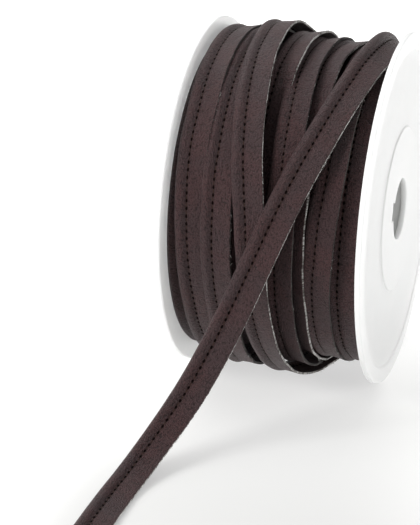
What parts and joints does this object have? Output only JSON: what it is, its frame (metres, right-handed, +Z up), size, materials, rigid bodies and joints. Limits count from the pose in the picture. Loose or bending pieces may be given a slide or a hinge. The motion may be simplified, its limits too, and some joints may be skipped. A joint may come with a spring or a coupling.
{
  "type": "reel of piping trim",
  "caption": "Plastic reel wound with flanged piping trim, a bead with a stitched seam and flat tape, its loose end crossing the front and running out over the surface.",
  "frame": {"origin": "on the surface that the reel stands on, midway between the two flanges, under the reel's axis", "axes": "+X along the reel's axis towards the flange beside which the loose end comes over the top, -Y to the front where the loose end runs out, +Z up"},
  "size_m": [0.07, 0.2136, 0.1225],
  "materials": {
    "white_plastic": "moulded, softly glossy, faintly clouded",
    "brown_leather": "soft imitation leather with a fine grain, dark stitching and pale raw edges"
  },
  "bodies": {
    "root": {"flange_left": "white_plastic", "flange_right": "white_plastic", "hub": "white_plastic", "wound_trim": "brown_leather", "loose_end": "brown_leather"}
  },
  "joints": []
}
